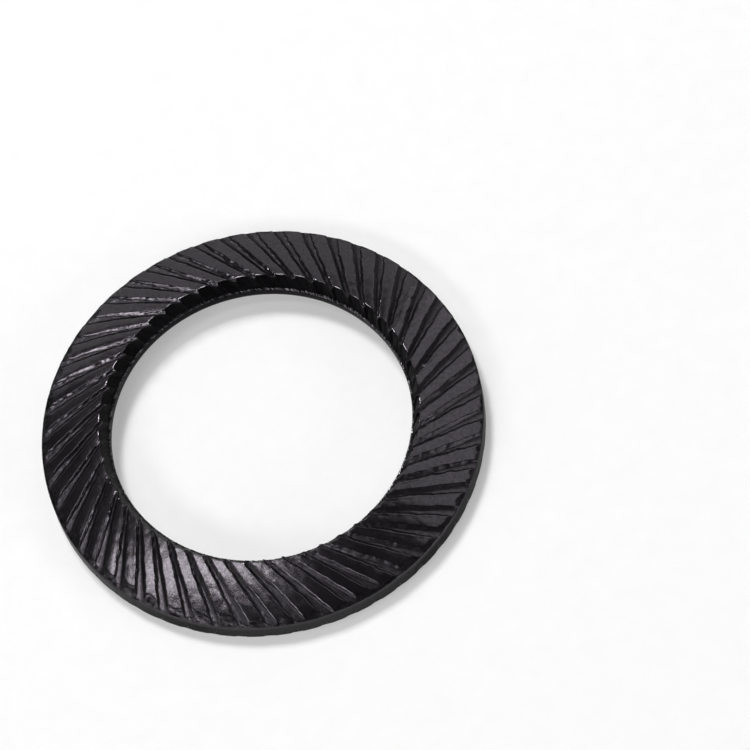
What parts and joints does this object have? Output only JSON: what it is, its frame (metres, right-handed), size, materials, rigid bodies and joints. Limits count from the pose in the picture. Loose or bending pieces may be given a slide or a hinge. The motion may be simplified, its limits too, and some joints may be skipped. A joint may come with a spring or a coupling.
{
  "type": "knurled lock washer",
  "caption": "Dished ring of blackened spring steel with slanted serrations on both faces, clamped under a bolt head or nut so that it bites and keeps the joint tight.",
  "frame": {"origin": "on the bore axis, in the plane that the outer rim rests on", "axes": "+Z along the bore axis, from the concave face to the convex face; +X and +Y lie across the ring"},
  "size_m": [0.022, 0.022, 0.0021],
  "materials": {
    "black_steel": "black oxide on spring steel, satin to semi-gloss"
  },
  "bodies": {
    "root": {"washer": "black_steel"}
  },
  "joints": []
}
